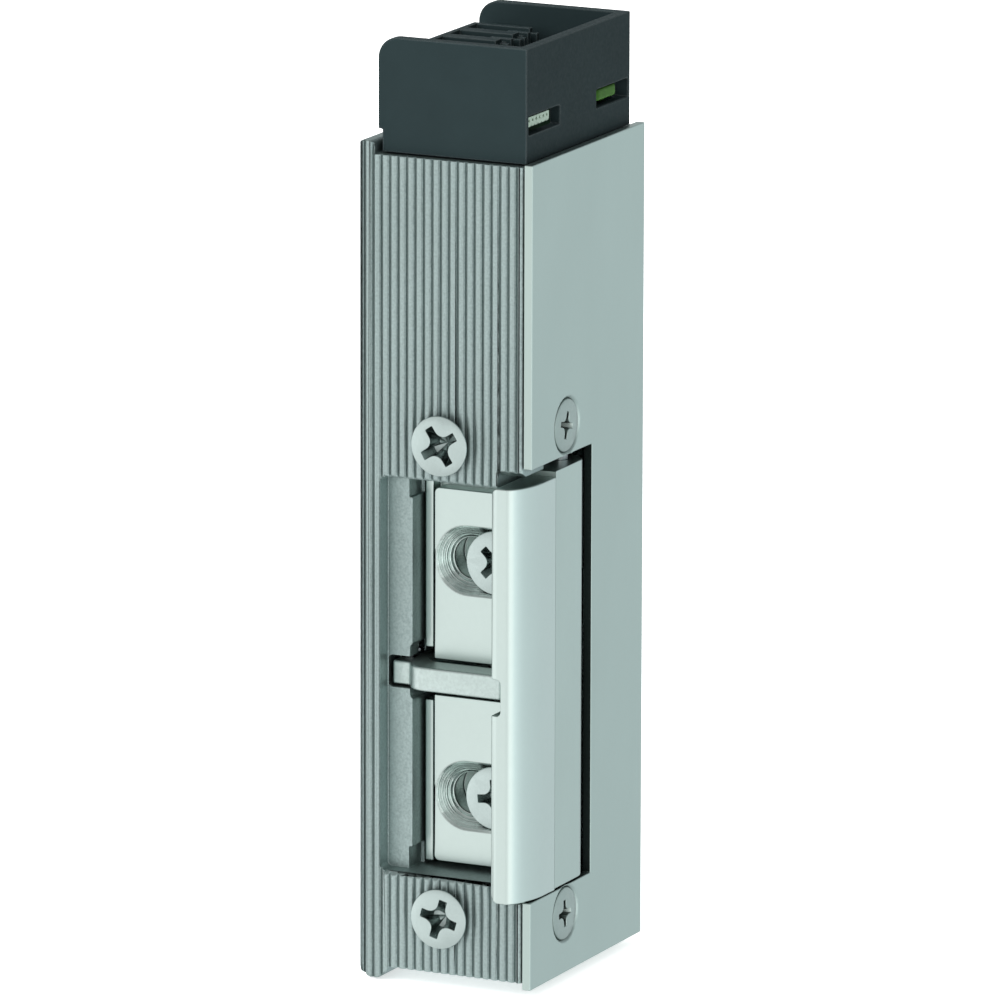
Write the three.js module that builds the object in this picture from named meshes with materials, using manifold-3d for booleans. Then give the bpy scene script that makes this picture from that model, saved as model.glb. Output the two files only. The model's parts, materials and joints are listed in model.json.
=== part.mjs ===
// An electric door strike of the narrow profile kind, in millimetres, +Z up.
// The ribbed front, which seats against a faceplate, looks along -Y, and the keeper opens to +X.
// The origin is midway between the two faceplate screws, in the plane of the rib crests.
// Every piece is drawn in the case's own coordinates: X from the left side, Y from the rib
// crests to the back, Z from the lower edge of the cover plate. One group then moves the whole.
import * as THREE from "three";
import { mergeVertices } from "three/addons/utils/BufferGeometryUtils.js";
import Module from "manifold-3d";

const wasm = await Module();
wasm.setup();

// Driving dimensions -------------------------------------------------------------------------

const GAP = 0.15; // clearance between fixed pieces that touch on the real strike
const PAST = 2; // how far a cutting shape runs past the face it cuts
const HEAD_RIM = 0.12; // rounding of a screw head's edge

const CASE = {
  width: 19.55,
  depth: 28,
  bottom: 0.65,
  top: 90,
  wall: 2,
  edge: 0.7,
  flangeTop: 91.4,
  flangeBottom: -0.72,
  flangeTopWidth: 2,
  flangeBottomWidth: 3.7,
};
const RIBS = { count: 20, pitch: 1, first: 0.79, depth: 0.42, flat: 0.4, shoulder: 0.12 };
const COVER = { inner: 19.7, outer: 20.7, top: 90.29, windowBack: 15, windowBottom: 9.7, windowTop: 57.3 };
const POCKET = {
  left: 2.65,
  ledge: 5.6,
  depth: 2,
  floor: 11.45,
  ceiling: 54.9,
  corner: 0.6,
  floorChamfer: 0.5,
  ceilingChamfer: 0.3,
  reliefLeft: 16.6,
  notch: 2.4,
  notchDepth: 0.4,
  notchBack: 5,
};
const HOOD = { bottom: 56.3, front: 56.9, slope: 1, back: 5.4 };
const CHAMBER = { bottom: 64, top: 87.5, ledgeBack: 8.5, blockBack: 14.6, channelBottom: 3.05 };
const WIRE_WAY = { left: 6, right: 12, front: 21, back: 25 };

const FACEPLATE_SCREW = { x: 10.25, upper: 59.15, lower: 7.05, head: 3.3, shank: 1.75, proud: 1.2, end: 8 };
const COVER_SCREW = { y: 8.8, upper: 60.54, lower: 6.57, head: 2.9, shank: 1.45, end: 14.6 };

const KEEPER = {
  axisX: 18.2,
  axisY: 12,
  knuckle: 2.5,
  front: 6,
  back: 10,
  left: 5.9,
  ridgeRight: 6.95,
  ridgeFront: 4.4,
  slabBottom: 11.9,
  slabTop: 54.5,
  bottom: 9.95,
  top: 56.05,
  notchBottom: 29.8,
  notchTop: 35.6,
  pin: 1,
  pinBottom: 3.1,
  pinTop: 61,
  springRoom: 1.8,
  springBottom: 4,
};
const NOSE = { left: 17, right: 19.3, back: 16.9, bottom: 37, top: 43.4 };
const INSERT = {
  left: 7.24,
  front: 4,
  back: 5.7,
  plateBottom: 12.1,
  plateTop: 53.4,
  bottom: 10.08,
  top: 55.4,
  legInside: 16.83,
  tip: -2,
  notchBottom: 30.5,
  notchTop: 34.5,
  notchRight: 18,
};
const SLOT = { middle: 32.68, spacing: 26, rim: 3.87, throat: 2.3, left: 11.21, right: 14.5 };
const ADJUSTER = { x: 14.45, top: 4.12, head: 3.5, shank: 1.9, end: 9.6 };

const LATCH_LEVER = {
  pivotX: 3.75,
  pivotY: 4.9,
  bottom: 31.65,
  top: 34.3,
  armFront: 0.4,
  armBack: 3.7,
  tabFront: 2.2,
  tabLeft: 3.1,
  step: 5.3,
  end: 17,
  pin: 0.75,
  springTop: 3.2,
  tailRight: [[7.4, 3.7], [6.2, 5], [6.5, 8.6], [11.6, 17]],
  tailLeft: [[11.4, 18.2], [10, 18.2], [9.95, 16.9], [4.6, 8.2], [4.3, 6.75]],
  hub: [[3.1, 6.1], [2.85, 4.9]],
};
const SWITCH = { left: 2.3, right: 7.1, front: 16.4, back: 24.2, bottom: 30.6, top: 35.4, plungerY: 17.6 };
const SWITCH_LEG = { inset: 1.2, half: 0.35, left: 1.8, right: 2.3, length: 2.6 };

const LOCK = {
  pivotX: 14.8,
  pivotZ: 61,
  front: 15.4,
  back: 17.7,
  bottom: 36.9,
  top: 67.5,
  footRight: 16.6,
  footTop: 43.6,
  footTaper: 46,
  shank: 0.9,
  hub: 2.3,
  hubFlat: 1.4,
  hubTaper: 3.4,
  headLeft: 14,
  headRight: 15.4,
  pin: 0.8,
  pinFront: 12,
};
const COIL = {
  x: 10.7,
  y: 12.1,
  pole: 71.6,
  bottom: 72.4,
  top: 84.4,
  core: 3,
  barrel: 3.9,
  flange: 7.2,
  cheek: 0.9,
};
const YOKE = {
  left: 4.2,
  right: 17.2,
  front: 3,
  legBack: 4.5,
  back: 16.1,
  top: 86.6,
  thickness: 1.6,
  ear: 1.2,
};
const ARMATURE = {
  pivotY: 3.9,
  pivotZ: 69.2,
  bottom: 68.6,
  top: 69.8,
  back: 18,
  left: 5.7,
  right: 15.7,
  barrel: 1.25,
  pin: 0.6,
  hookFront: 14.6,
  hookLeft: 15.95,
  hookRight: 17.4,
};

const TERMINAL = {
  left: 2,
  footLeft: 2.5,
  right: 19.55,
  front: 0.9,
  back: 26.6,
  bottom: 90.15,
  step: 92.6,
  top: 102.6,
  wall: 1.25,
  floor: 91.7,
  corner: 2.3,
};
const TERMINAL_WINDOWS = [
  { front: 1.46, back: 9.13, bottom: 93.2, top: 95.25 },
  { front: 18.2, back: 26.14, bottom: 93.3, top: 95.35 },
];
const POLES = {
  count: 5,
  coil: 2,
  pitch: 4.2,
  first: 4.6,
  left: 2.45,
  step: 9.4,
  right: 13.4,
  low: 97.4,
  top: 100.5,
  funnelLeft: 3.85,
  funnelRight: 7.2,
  funnelHalf: 1.35,
  funnelDepth: 5,
  groove: 0.6,
  screwX: 11.4,
  well: 1.55,
};
const CLAMP = { gap: 0.2, wall: 0.45, height: 2.2 };
const BOARD = {
  left: 13.8,
  right: 17.9,
  front: 2.6,
  back: 24.9,
  bottom: 92.1,
  top: 92.9,
  holeX: 15.5,
  holeY: 13.7,
  hole: 0.8,
};
const STRIP = {
  left: 15.4,
  foot: 16.4,
  right: 19.3,
  front: 1.6,
  innerFront: 2.4,
  back: 6.9,
  bottom: 94,
  top: 95.1,
  inner: 17.95,
};
const VARISTOR = {
  left: 14.4,
  right: 19.3,
  front: 18.35,
  back: 24.2,
  bottom: 93.9,
  top: 95.2,
  corner: 1.1,
  lead: 0.3,
};

const FINISHES = {
  casting: { color: 0x9aa8a4, roughness: 0.55, metalness: 0.75 },
  cover: { color: 0xa8b4b1, roughness: 0.34, metalness: 0.9 },
  keeper: { color: 0xcfdad6, roughness: 0.28, metalness: 0.9 },
  screw: { color: 0xc2ccc9, roughness: 0.3, metalness: 0.95 },
  plastic: { color: 0x2f3a3b, roughness: 0.5, metalness: 0 },
  steel: { color: 0x9a9fa2, roughness: 0.35, metalness: 0.9 },
  iron: { color: 0x7d8285, roughness: 0.45, metalness: 0.85 },
  spring: { color: 0xb4b9bc, roughness: 0.25, metalness: 0.95 },
  bobbin: { color: 0xd8d2c2, roughness: 0.6, metalness: 0 },
  copper: { color: 0xb4683a, roughness: 0.35, metalness: 0.9 },
  brass: { color: 0xc2a25a, roughness: 0.35, metalness: 0.9 },
  board: { color: 0x3c6b3f, roughness: 0.5, metalness: 0 },
  varistor: { color: 0x4f9a3e, roughness: 0.4, metalness: 0 },
  tin: { color: 0xc9d2cc, roughness: 0.3, metalness: 0.85 },
};

// Solids -------------------------------------------------------------------------------------

// A closed three.js geometry as a solid that can be joined and cut.
function solid(geometry) {
  const bare = geometry.clone();
  bare.deleteAttribute("normal");
  bare.deleteAttribute("uv");
  const merged = mergeVertices(bare, 1e-4);
  const corners = merged.index.array;
  const kept = [];
  for (let i = 0; i < corners.length; i += 3) {
    const [a, b, c] = corners.slice(i, i + 3);
    if (a !== b && b !== c && c !== a) kept.push(a, b, c);
  }
  const vertProperties = new Float32Array(merged.attributes.position.array);
  return new wasm.Manifold(new wasm.Mesh({ numProp: 3, vertProperties, triVerts: new Uint32Array(kept) }));
}

function geometryOf(manifold) {
  const mesh = manifold.getMesh();
  const geometry = new THREE.BufferGeometry();
  geometry.setAttribute("position", new THREE.BufferAttribute(new Float32Array(mesh.vertProperties), 3));
  geometry.setIndex(new THREE.BufferAttribute(new Uint32Array(mesh.triVerts), 1));
  geometry.computeVertexNormals();
  return geometry;
}

const cut = (base, ...tools) => tools.reduce((rest, tool) => rest.subtract(tool), base);
const join = (...pieces) => pieces.reduce((whole, piece) => whole.add(piece));

function box(x0, x1, y0, y1, z0, z1) {
  const geometry = new THREE.BoxGeometry(x1 - x0, y1 - y0, z1 - z0);
  return solid(geometry.translate((x0 + x1) / 2, (y0 + y1) / 2, (z0 + z1) / 2));
}

// A round bar or cone frustum along one axis. The centre gives the other two coordinates in X, Y, Z order.
function rod(axis, centre, from, to, radius, endRadius = radius, sides = 24) {
  const [a, b] = centre;
  const middle = (from + to) / 2;
  const geometry = new THREE.CylinderGeometry(endRadius, radius, to - from, sides);
  if (axis === "x") geometry.rotateZ(-Math.PI / 2).translate(middle, a, b);
  if (axis === "y") geometry.translate(a, middle, b);
  if (axis === "z") geometry.rotateX(Math.PI / 2).translate(a, b, middle);
  return solid(geometry);
}

const ALONG = {
  x: [new THREE.Vector3(0, 1, 0), new THREE.Vector3(0, 0, 1), new THREE.Vector3(1, 0, 0)],
  y: [new THREE.Vector3(1, 0, 0), new THREE.Vector3(0, 0, 1), new THREE.Vector3(0, -1, 0)],
  z: [new THREE.Vector3(1, 0, 0), new THREE.Vector3(0, 1, 0), new THREE.Vector3(0, 0, 1)],
};

// An outline given in the two coordinates across an axis, swept along that axis.
function prism(axis, outline, from, to, curveSegments = 6) {
  const depth = to - from;
  const geometry = new THREE.ExtrudeGeometry(outline, { depth, bevelEnabled: false, curveSegments });
  geometry.applyMatrix4(new THREE.Matrix4().makeBasis(...ALONG[axis]));
  if (axis === "x") geometry.translate(from, 0, 0);
  if (axis === "y") geometry.translate(0, to, 0);
  if (axis === "z") geometry.translate(0, 0, from);
  return solid(geometry);
}

const polygon = (points) => new THREE.Shape(points.map(([x, y]) => new THREE.Vector2(x, y)));

function roundedBox(x0, x1, y0, y1, radius) {
  const shape = new THREE.Shape();
  shape.absarc(x1 - radius, y1 - radius, radius, 0, Math.PI / 2);
  shape.absarc(x0 + radius, y1 - radius, radius, Math.PI / 2, Math.PI);
  shape.absarc(x0 + radius, y0 + radius, radius, Math.PI, 1.5 * Math.PI);
  shape.absarc(x1 - radius, y0 + radius, radius, 1.5 * Math.PI, 2 * Math.PI);
  return shape;
}

class Helix extends THREE.Curve {
  constructor(radius, length, turns) {
    super();
    Object.assign(this, { radius, length, turns });
  }
  getPoint(t, target = new THREE.Vector3()) {
    const angle = 2 * Math.PI * this.turns * t;
    return target.set(this.radius * Math.cos(angle), this.radius * Math.sin(angle), this.length * t);
  }
}

// A coil spring along +Z from the origin, as a geometry that can still be turned and moved.
function spring(radius, wire, length, turns) {
  const steps = Math.round(turns * 12);
  const section = new THREE.Shape().absarc(0, 0, wire, 0, 2 * Math.PI);
  const extrudePath = new Helix(radius, length, turns);
  return new THREE.ExtrudeGeometry(section, { steps, extrudePath, bevelEnabled: false, curveSegments: 3 });
}

// A countersunk cross-recess screw: head up at the origin, shank down -Z.
function screw(head, shank, length, turn, recess = { reach: 0.66, width: 0.15, depth: 0.34 }) {
  const slope = head - shank;
  const profile = [
    [0, 0],
    [head - HEAD_RIM, 0],
    [head, -HEAD_RIM],
    [shank, -slope - HEAD_RIM],
    [shank, -length + shank / 2],
    [shank / 2, -length],
    [0, -length],
  ];
  const body = new THREE.LatheGeometry(profile.reverse().map(([r, z]) => new THREE.Vector2(r, z)), 24);
  const reach = head * recess.reach;
  const half = head * recess.width;
  const floor = -head * recess.depth;
  const bar = (quarter) => {
    const geometry = new THREE.BoxGeometry(2 * reach, 2 * half, -2 * floor);
    return solid(geometry.rotateZ(turn + quarter));
  };
  const turned = solid(body.rotateX(Math.PI / 2));
  return cut(turned, bar(0), bar(Math.PI / 2));
}

const toFront = (manifold) => geometryOf(manifold).rotateX(Math.PI / 2); // head towards -Y
const toRight = (manifold) => geometryOf(manifold).rotateY(Math.PI / 2); // head towards +X

// Case ---------------------------------------------------------------------------------------

// The case's plan: plain at the sides and back, ribbed along the front.
function ribbedPlan() {
  const { width, depth, edge } = CASE;
  const { count, pitch, first, flat, shoulder } = RIBS;
  const rise = (pitch - flat) / 2;
  const points = [[0, edge], [0.2, 0.2], [0.45, 0]];
  for (let i = 0; i < count - 1; i += 1) {
    const groove = first + i * pitch;
    points.push([groove - rise, 0], [groove - shoulder, shoulder], [groove, RIBS.depth]);
    points.push([groove + shoulder, shoulder], [groove + rise, 0]);
  }
  points.push([width - 0.35, 0], [width, 0.3], [width, depth - edge], [width - edge, depth], [edge, depth]);
  points.push([0, depth - edge]);
  return polygon(points);
}

// The left wall runs a little past the case at both ends, ribs and all.
function flanges() {
  const { depth, edge, bottom, top, flangeTop, flangeBottom, flangeTopWidth, flangeBottomWidth } = CASE;
  const radius = flangeBottomWidth / 2;
  const upper = roundedBox(0, flangeTopWidth, top - 4, flangeTop, edge);
  const lower = roundedBox(0, flangeBottomWidth, flangeBottom, bottom + 4, radius);
  const upperPlan = prism("z", ribbedPlan(), top - 1, flangeTop);
  const lowerPlan = prism("z", ribbedPlan(), flangeBottom, bottom + 1);
  const back = depth - 0.5;
  return join(
    upperPlan.intersect(prism("y", upper, -PAST, back)),
    lowerPlan.intersect(prism("y", lower, -PAST, back, 8)),
  );
}

// The pocket that the latch enters, with a shallow ledge on its left.
function pocketCuts() {
  const { left, ledge, depth, floor, ceiling, corner, floorChamfer, ceilingChamfer } = POCKET;
  const { notch, notchDepth, notchBack } = POCKET;
  const right = CASE.width + PAST;
  const chamfers = polygon([
    [-PAST, floor - floorChamfer - PAST],
    [floorChamfer, floor],
    [depth, floor],
    [depth, ceiling],
    [ceilingChamfer, ceiling],
    [-PAST, ceiling + ceilingChamfer + PAST],
  ]);
  const shallow = prism("y", roundedBox(left, right + corner, floor, ceiling, corner), -PAST, depth);
  const sloped = prism("x", chamfers, left + corner, right);
  const deep = box(ledge, right, -PAST, COVER.windowBack + 1, floor, ceiling);
  const upperNotch = box(ledge - notchDepth, right, depth - 1, notchBack, ceiling - notch, ceiling);
  const lowerNotch = box(ledge - notchDepth, right, depth - 1, notchBack, floor, floor + notch);
  return [shallow, sloped, deep, upperNotch, lowerNotch];
}

// Room above, below and behind the keeper's outer side, open to the cover plate's window.
function keeperReliefCuts() {
  const { reliefLeft } = POCKET;
  const { windowBack, windowBottom, windowTop } = COVER;
  const { axisX, axisY, knuckle, pin, pinBottom, pinTop, springRoom, springBottom } = KEEPER;
  const right = CASE.width + PAST;
  const bottom = windowBottom - 0.2;
  const top = windowTop - 0.3;
  // The casting hangs lower in front, over the insert's leg, and slopes up to the rib crests.
  const opening = polygon([
    [-PAST, bottom],
    [windowBack + 1, bottom],
    [windowBack + 1, top],
    [HOOD.back, top],
    [HOOD.back, HOOD.bottom],
    [HOOD.slope, HOOD.bottom],
    [0, HOOD.front],
    [-PAST, HOOD.front + PAST],
  ]);
  const side = prism("x", opening, reliefLeft, right);
  const sweep = rod("z", [axisX, axisY], bottom, top, knuckle + 1);
  // Round rooms for the pin and its spring, each open to the cover plate by a groove as wide.
  const rooms = [
    [pin + 0.1, pinBottom - 0.2, pinTop + 0.2],
    [springRoom, springBottom - 0.4, windowBottom],
  ].flatMap(([radius, from, to]) => [
    rod("z", [axisX, axisY], from, to, radius, radius, 16),
    box(axisX, right, axisY - radius, axisY + radius, from, to),
  ]);
  return [side, sweep, ...rooms];
}

// The slot for the latch lever's hub, with the bores for its pin and spring.
function latchLeverCuts() {
  const { left, ledge, depth, notchDepth, notchBack } = POCKET;
  const { pivotX, pivotY, bottom, top, pin, springTop } = LATCH_LEVER;
  const right = ledge + 3;
  const hubRoom = roundedBox(left + 0.05, right, bottom - 0.25, top + 0.6, 0.5);
  const mouth = roundedBox(ledge - notchDepth + 0.1, right, bottom - 1.5, top + 2.2, 0.7);
  const slot = prism("y", hubRoom, depth - 1, CHAMBER.ledgeBack + 1);
  const flare = prism("y", mouth, depth - 1, notchBack + 0.2);
  const bore = rod("z", [pivotX, pivotY], bottom - 3.2, top + 4.2, pin + 0.07, pin + 0.07, 12);
  const springRoom = rod("z", [pivotX, pivotY], top, top + springTop, 1.7, 1.7, 16);
  return [slot, flare, bore, springRoom];
}

// The inside: a chamber for the magnet above and a channel for the levers behind the pocket.
function chamberCuts() {
  const { width, depth, wall, top } = CASE;
  const { blockBack, ledgeBack, channelBottom } = CHAMBER;
  const right = width + PAST;
  const upper = box(wall, right, wall, depth - wall, CHAMBER.bottom, CHAMBER.top);
  const channel = box(wall, right, blockBack, depth - wall, channelBottom, CHAMBER.bottom + 1);
  const behindLedge = box(wall, right, ledgeBack, blockBack + 1, POCKET.floor, POCKET.ceiling);
  return [upper, channel, behindLedge, wireWay(CHAMBER.top - 1, top + PAST)];
}

// The way for the wires between the chamber and the terminals.
function wireWay(from, to) {
  const { left, right, front, back } = WIRE_WAY;
  return box(left, right, front, back, from, to);
}

function screwHoleCuts() {
  const { x, upper, lower, shank, end } = FACEPLATE_SCREW;
  const holes = [upper, lower].flatMap((z) => [
    rod("y", [x, z], -PAST, end + 0.6, shank + GAP, shank + GAP, 20),
    rod("y", [x, z], -0.3, 0.6, shank + 0.95, shank + GAP, 20),
  ]);
  const side = COVER_SCREW;
  const bore = side.shank + 0.12;
  const sides = [side.upper, side.lower].flatMap((z) => [
    rod("x", [side.y, z], side.end - 0.5, CASE.width + PAST, bore, bore, 16),
    rod("x", [side.y, z], CASE.width - 0.6, CASE.width + 0.1, bore, 2.1, 16),
  ]);
  return [...holes, ...sides];
}

// The locking lever turns on a pin along Y in the block above the pocket.
function lockCuts() {
  const { pivotX, pivotZ, pin, pinFront } = LOCK;
  return [rod("y", [pivotX, pivotZ], pinFront - 0.4, CHAMBER.blockBack + 1, pin + 0.05, pin + 0.05, 12)];
}

function housing() {
  const body = prism("z", ribbedPlan(), CASE.bottom, CASE.top);
  const shell = join(body, flanges());
  const front = [...pocketCuts(), ...keeperReliefCuts(), ...latchLeverCuts()];
  const inside = [...chamberCuts(), ...screwHoleCuts(), ...lockCuts()];
  return geometryOf(cut(shell, ...front, ...inside));
}

function coverPlate() {
  const { inner, outer, top, windowBack, windowBottom, windowTop } = COVER;
  const outline = polygon([
    [0, 0],
    [CASE.depth, 0],
    [CASE.depth, top],
    [0, top],
    [0, windowTop],
    [windowBack, windowTop],
    [windowBack, windowBottom],
    [0, windowBottom],
  ]);
  const holes = [COVER_SCREW.upper, COVER_SCREW.lower].map((z) =>
    rod("x", [COVER_SCREW.y, z], inner - 0.1, outer + 0.1, COVER_SCREW.head - 0.75, COVER_SCREW.head + 0.45),
  );
  return geometryOf(cut(prism("x", outline, inner, outer), ...holes));
}

function faceplateScrew(z, turn) {
  const { x, head, shank, proud, end } = FACEPLATE_SCREW;
  return toFront(screw(head, shank, end + proud, turn)).translate(x, -proud, z);
}

function coverScrew(z, turn) {
  const { y, head, shank, end } = COVER_SCREW;
  const recess = { reach: 0.5, width: 0.12, depth: 0.3 };
  return toRight(screw(head, shank, COVER.outer - end, turn, recess)).translate(COVER.outer - 0.05, y, z);
}

// Keeper -------------------------------------------------------------------------------------

// The swinging base: a slab across the pocket, an outer wall and a barrel round the pin.
function keeperBase() {
  const { axisX, axisY, knuckle, front, back, left, ridgeRight, ridgeFront } = KEEPER;
  const { slabBottom, slabTop, bottom, top, notchBottom, notchTop, pin } = KEEPER;
  const inside = axisX - knuckle;
  const slab = box(left, axisX, front, back, slabBottom, slabTop);
  const ridge = prism("z", roundedBox(left, ridgeRight, ridgeFront, back, 0.25), slabBottom, slabTop, 3);
  const outer = new THREE.Shape();
  outer.moveTo(POCKET.reliefLeft + 0.25, front);
  outer.lineTo(COVER.outer, front);
  outer.lineTo(COVER.outer, axisY);
  outer.absarc(axisX, axisY, knuckle, 0, Math.PI);
  outer.lineTo(inside, back);
  outer.lineTo(POCKET.reliefLeft + 0.25, back - 1);
  const side = prism("z", outer, bottom, top, 12);
  const nose = box(NOSE.left, NOSE.right, axisY, NOSE.back, NOSE.bottom, NOSE.top);
  const whole = join(slab, ridge, side, nose);
  const armWay = box(left - 1, 17.6, ridgeFront - 1, back - 1, notchBottom, notchTop);
  const tailWay = box(left - 1, inside - 0.5, ridgeFront, back + 2, notchBottom, notchTop);
  const bore = rod("z", [axisX, axisY], bottom - 1, top + 1, pin + 0.06, pin + 0.06, 16);
  const holes = slotHeights().flatMap((z) => [
    rod("y", [ADJUSTER.x, z], front - 1, back + 1, ADJUSTER.shank + 0.12),
    rod("y", [ADJUSTER.x, z], front - 0.3, front + 0.5, 2.7, ADJUSTER.shank),
  ]);
  return geometryOf(cut(whole, armWay, tailWay, bore, ...holes));
}

const slotHeights = () => [SLOT.middle + SLOT.spacing / 2, SLOT.middle - SLOT.spacing / 2];

// The plan of the insert's leg: a blunt tip, a bevel facing the latch and a rounded shoulder.
function legPlan() {
  const { legInside, tip, back } = INSERT;
  const shape = new THREE.Shape();
  shape.moveTo(legInside, back);
  shape.lineTo(legInside, tip + 0.75);
  shape.quadraticCurveTo(legInside + 0.05, tip, legInside + 0.65, tip);
  shape.quadraticCurveTo(legInside + 1.1, tip - 0.02, legInside + 1.55, tip + 0.55);
  shape.lineTo(legInside + 2.75, tip + 1.78);
  shape.bezierCurveTo(COVER.outer - 0.15, tip + 2.75, COVER.outer, tip + 4.2, COVER.outer, tip + 5.8);
  shape.lineTo(COVER.outer, back);
  return shape;
}

// One countersunk slot of the insert, as the shape that cuts it.
function slotCut(z) {
  const { rim, throat, left, right } = SLOT;
  const { front, back } = INSERT;
  const depth = rim - throat;
  const narrow = roundedBox(left - throat, right + throat, z - throat, z + throat, throat);
  const through = prism("y", narrow, front, back + 1);
  const ends = [left, right].map((x) => rod("y", [x, z], front - 0.01, front + depth, rim, throat));
  const wedge = polygon([
    [front - 0.01, z - rim],
    [front + depth, z - throat],
    [front + depth, z + throat],
    [front - 0.01, z + rim],
  ]);
  const between = prism("x", wedge, left, right);
  return join(through, ...ends, between);
}

function keeperInsert() {
  const { left, front, back, plateBottom, plateTop, bottom, top } = INSERT;
  const { legInside, tip, notchBottom, notchTop, notchRight } = INSERT;
  const plate = prism("y", roundedBox(left, legInside + 2, plateBottom, plateTop, 0.7), front, back, 4);
  const leg = prism("z", legPlan(), bottom, top, 6);
  const way = roundedBox(left - PAST, notchRight, notchBottom, notchTop, 0.4);
  const notch = prism("y", way, tip - 1, back + 1, 3);
  return geometryOf(cut(join(plate, leg), notch, ...slotHeights().map(slotCut)));
}

function adjustingScrew(z, turn) {
  const { x, top, head, shank, end } = ADJUSTER;
  return toFront(screw(head, shank, end - top, turn)).translate(x, top, z);
}

function keeperPin() {
  const { axisX, axisY, pin, pinBottom, pinTop } = KEEPER;
  return geometryOf(rod("z", [axisX, axisY], pinBottom, pinTop, pin, pin, 16));
}

function keeperSpring() {
  const { axisX, axisY, springBottom } = KEEPER;
  return spring(1.25, 0.15, 4.6, 5).translate(axisX, axisY, springBottom);
}

// Latch lever and switch ---------------------------------------------------------------------

// The cast lever that the latch pushes in: a hub in the ledge, an arm across the pocket, a tail behind.
function latchLever() {
  const { pivotX, pivotY, bottom, top, armFront, armBack, tabFront, tabLeft } = LATCH_LEVER;
  const { step, end, pin, tailRight, tailLeft, hub } = LATCH_LEVER;
  const shape = new THREE.Shape();
  shape.moveTo(tabLeft, tabFront);
  shape.lineTo(step, tabFront);
  shape.quadraticCurveTo(step + 0.5, armFront + 0.15, step + 2, armFront);
  shape.lineTo(end - 0.5, armFront);
  shape.quadraticCurveTo(end, armFront, end, armFront + 0.7);
  shape.lineTo(end, armBack - 0.6);
  shape.lineTo(end - 0.6, armBack);
  for (const [x, y] of [...tailRight, ...tailLeft, ...hub]) shape.lineTo(x, y);
  const hole = rod("z", [pivotX, pivotY], bottom - 1, top + 1, pin + 0.06, pin + 0.06, 12);
  return geometryOf(cut(prism("z", shape, bottom, top, 5), hole));
}

function latchLeverPin() {
  const { pivotX, pivotY, bottom, top, pin } = LATCH_LEVER;
  return geometryOf(rod("z", [pivotX, pivotY], bottom - 3, top + 4, pin, pin, 12));
}

function latchLeverSpring() {
  const { pivotX, pivotY, top } = LATCH_LEVER;
  return spring(1.22, 0.2, 2.1, 4).translate(pivotX, pivotY, top + 0.75);
}

function switchBody() {
  const { left, right, front, back, bottom, top, plungerY } = SWITCH;
  const leg = SWITCH_LEG;
  const middle = (bottom + top) / 2;
  const body = prism("x", roundedBox(front, back, bottom, top, 0.4), left, right, 3);
  const hole = rod("x", [plungerY, middle], right - 1.8, right + 1, 0.75, 0.75, 12);
  const legs = [front + leg.inset, (front + back) / 2, back - leg.inset].map((y) =>
    box(left + leg.left, left + leg.right, y - leg.half, y + leg.half, bottom - leg.length, bottom + 0.5),
  );
  return geometryOf(cut(join(body, ...legs), hole));
}

function switchPlunger() {
  const { right, plungerY, bottom, top } = SWITCH;
  return geometryOf(rod("x", [plungerY, (bottom + top) / 2], right - 0.7, right + 1, 0.6, 0.5, 12));
}

// Lock ---------------------------------------------------------------------------------------

// The long lever whose foot stands in the keeper nose's way.
function lockingLever() {
  const { pivotX, pivotZ, front, back, bottom, top, footRight, footTop, footTaper } = LOCK;
  const { shank, hub, hubFlat, hubTaper, headLeft, headRight, pin } = LOCK;
  const outline = polygon([
    [pivotX - shank, bottom],
    [footRight, bottom],
    [footRight, footTop],
    [pivotX + shank, footTaper],
    [pivotX + shank, pivotZ - hubTaper],
    [pivotX + hub, pivotZ - hubFlat],
    [pivotX + hub, pivotZ + hubFlat],
    [headRight, pivotZ + hubTaper],
    [headRight, top],
    [headLeft, top],
    [pivotX - shank, pivotZ + hubTaper],
    [pivotX - hub, pivotZ + hubFlat],
    [pivotX - hub, pivotZ - hubFlat],
    [pivotX - shank, pivotZ - hubTaper],
  ]);
  const hole = rod("y", [pivotX, pivotZ], front - 1, back + 1, pin + 0.07, pin + 0.07, 12);
  return geometryOf(cut(prism("y", outline, front, back), hole));
}

function lockingLeverPin() {
  const { pivotX, pivotZ, back, pin, pinFront } = LOCK;
  return geometryOf(rod("y", [pivotX, pivotZ], pinFront, back + 0.5, pin, pin, 12));
}

function lockingLeverSpring() {
  const middle = (LOCK.front + LOCK.back) / 2;
  return spring(1.7, 0.25, 11.2, 7).rotateY(Math.PI / 2).translate(2.45, middle, 50);
}

function armature() {
  const { pivotY, pivotZ, bottom, top, back, left, right, barrel, pin } = ARMATURE;
  const { hookFront, hookLeft, hookRight } = ARMATURE;
  const plan = polygon([
    [left, pivotY],
    [right, pivotY],
    [right, hookFront],
    [hookRight, hookFront],
    [hookRight, back],
    [left, back],
  ]);
  const knuckle = rod("x", [pivotY, pivotZ], left, right, barrel, barrel, 16);
  const hook = box(hookLeft, hookRight, LOCK.front, back - 0.3, LOCK.top - 0.4, top);
  const hole = rod("x", [pivotY, pivotZ], left - 1, right + 1, pin + 0.06, pin + 0.06, 12);
  return geometryOf(cut(join(prism("z", plan, bottom, top), knuckle, hook), hole));
}

function armaturePin() {
  const { pivotY, pivotZ, pin } = ARMATURE;
  return geometryOf(rod("x", [pivotY, pivotZ], YOKE.left - 0.2, YOKE.right + 0.1, pin, pin, 12));
}

function armatureSpring() {
  return spring(1.1, 0.18, 1.9, 3).translate(8, 16.9, ARMATURE.top + 0.25);
}

// Electromagnet ------------------------------------------------------------------------------

function coilCore() {
  const { x, y, pole, core } = COIL;
  return geometryOf(rod("z", [x, y], pole, YOKE.top - YOKE.thickness - GAP, core));
}

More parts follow.
